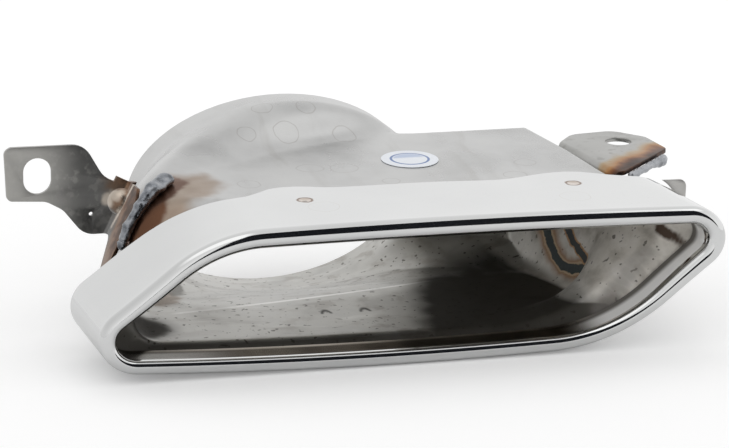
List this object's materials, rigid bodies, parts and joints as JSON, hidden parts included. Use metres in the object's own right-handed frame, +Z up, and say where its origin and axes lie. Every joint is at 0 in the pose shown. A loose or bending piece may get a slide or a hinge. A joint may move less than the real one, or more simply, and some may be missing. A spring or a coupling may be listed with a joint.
{
  "type": "exhaust trim cover",
  "caption": "Polished exhaust trim with a rolled lip round a leaning mouth, a pressed funnel back to an oval collar, and welded slotted and pierced fixing brackets.",
  "frame": {"origin": "middle of the part's footprint, at the level it rests on", "axes": "+X along the mouth's width to the viewer's right, +Y from the mouth into the car, +Z up as it rests on the lip and the collar"},
  "size_m": [0.2948, 0.157, 0.0854],
  "materials": {
    "polished_steel": "polished",
    "pressed_steel": "dull, as pressed",
    "bracket_steel": "dull",
    "weld_metal": "rough",
    "label_film": "satin"
  },
  "bodies": {
    "root": {"trim_band": "polished_steel", "funnel_shell": "pressed_steel", "left_bracket": "bracket_steel", "left_bracket_weld": "weld_metal", "right_bracket": "bracket_steel", "right_bracket_weld": "weld_metal", "right_tab": "bracket_steel", "right_tab_weld": "weld_metal", "label": "label_film"}
  },
  "joints": []
}
